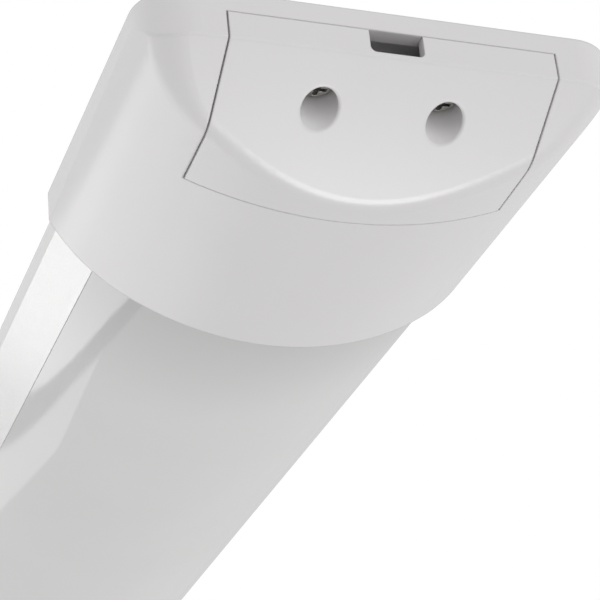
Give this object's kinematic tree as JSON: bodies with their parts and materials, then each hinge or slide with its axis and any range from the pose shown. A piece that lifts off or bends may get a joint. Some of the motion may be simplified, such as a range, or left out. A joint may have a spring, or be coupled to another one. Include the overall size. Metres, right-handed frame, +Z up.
{
  "type": "led tube light fixture",
  "caption": "Slim surface-mount LED batten: painted tray with sloped wings, milky domed diffuser and moulded end caps with scooped ends and screwed-on wiring covers.",
  "frame": {"origin": "middle of the back of the tray, on the ceiling plane", "axes": "+X along the length towards the supply end, +Z up into the ceiling; the fixture hangs below z = 0"},
  "size_m": [0.6, 0.075, 0.025],
  "materials": {
    "tray_paint": "white satin powder coat on sheet steel",
    "milky_diffuser": "milky white polycarbonate, smooth and glossy",
    "cap_plastic": "white satin moulded plastic",
    "cover_plastic": "white satin moulded plastic",
    "screw_steel": "zinc-plated",
    "board_white": "white solder mask on a metal core",
    "chip_phosphor": "yellow phosphor in a white frame",
    "rivet_aluminium": "plain",
    "connector_plastic": "white moulded",
    "driver_plastic": "white moulded",
    "circuit_board": "green solder mask",
    "ferrite": "dark ferrite with yellow tape",
    "capacitor_sleeve": "black shrink sleeve",
    "terminal_plastic": "natural white",
    "terminal_brass": "plain",
    "cord_clamp_plastic": "white moulded",
    "wire_brown": "brown insulation",
    "wire_blue": "blue insulation",
    "wire_green_yellow": "green insulation with a yellow stripe",
    "wire_red": "red insulation",
    "wire_black": "black insulation",
    "wire_white": "white insulation"
  },
  "bodies": {
    "fixture": {"base_tray": "tray_paint", "diffuser": "milky_diffuser", "right_end_cap": "cap_plastic", "left_end_cap": "cap_plastic", "cap_screws": "screw_steel", "front_led_board": "board_white", "rear_led_board": "board_white", "front_led_chips": "chip_phosphor", "rear_led_chips": "chip_phosphor", "board_rivets": "rivet_aluminium", "board_connectors": "connector_plastic", "driver_case": "driver_plastic", "driver_lid": "driver_plastic", "driver_board": "circuit_board", "driver_transformer": "ferrite", "driver_capacitors": "capacitor_sleeve", "driver_choke": "ferrite", "driver_rivets": "rivet_aluminium", "terminal_block": "terminal_plastic", "terminal_clamps": "terminal_brass", "terminal_screws": "screw_steel", "cord_clamp": "cord_clamp_plastic", "cord_clamp_screws": "screw_steel", "live_wire": "wire_brown", "neutral_wire": "wire_blue", "earth_wire": "wire_green_yellow", "led_positive_wire": "wire_red", "led_negative_wire": "wire_black", "led_link_wire": "wire_white", "earth_stud": "screw_steel", "earth_nut": "terminal_brass", "earth_tag": "terminal_brass"},
    "right_cover": {"right_wiring_cover": "cover_plastic"},
    "left_cover": {"left_wiring_cover": "cover_plastic"},
    "right_screw_front": {"right_cover_screw_front": "screw_steel"},
    "right_screw_rear": {"right_cover_screw_rear": "screw_steel"},
    "left_screw_front": {"left_cover_screw_front": "screw_steel"},
    "left_screw_rear": {"left_cover_screw_rear": "screw_steel"}
  },
  "joints": [
    {"name": "right_cover_lift", "type": "slide", "parent": "fixture", "child": "right_cover", "axis": [0, 0, -1], "range_m": [0, 0.05]},
    {"name": "left_cover_lift", "type": "slide", "parent": "fixture", "child": "left_cover", "axis": [0, 0, -1], "range_m": [0, 0.05]},
    {"name": "right_screw_front_turn", "type": "hinge", "parent": "right_cover", "child": "right_screw_front", "pos_m": [0.29195, -0.0098, -0.0075], "axis": [0, 0, -1], "continuous": true},
    {"name": "right_screw_rear_turn", "type": "hinge", "parent": "right_cover", "child": "right_screw_rear", "pos_m": [0.29195, 0.0098, -0.0075], "axis": [0, 0, -1], "continuous": true},
    {"name": "left_screw_front_turn", "type": "hinge", "parent": "left_cover", "child": "left_screw_front", "pos_m": [-0.29195, -0.0098, -0.0075], "axis": [0, 0, -1], "continuous": true},
    {"name": "left_screw_rear_turn", "type": "hinge", "parent": "left_cover", "child": "left_screw_rear", "pos_m": [-0.29195, 0.0098, -0.0075], "axis": [0, 0, -1], "continuous": true}
  ]
}
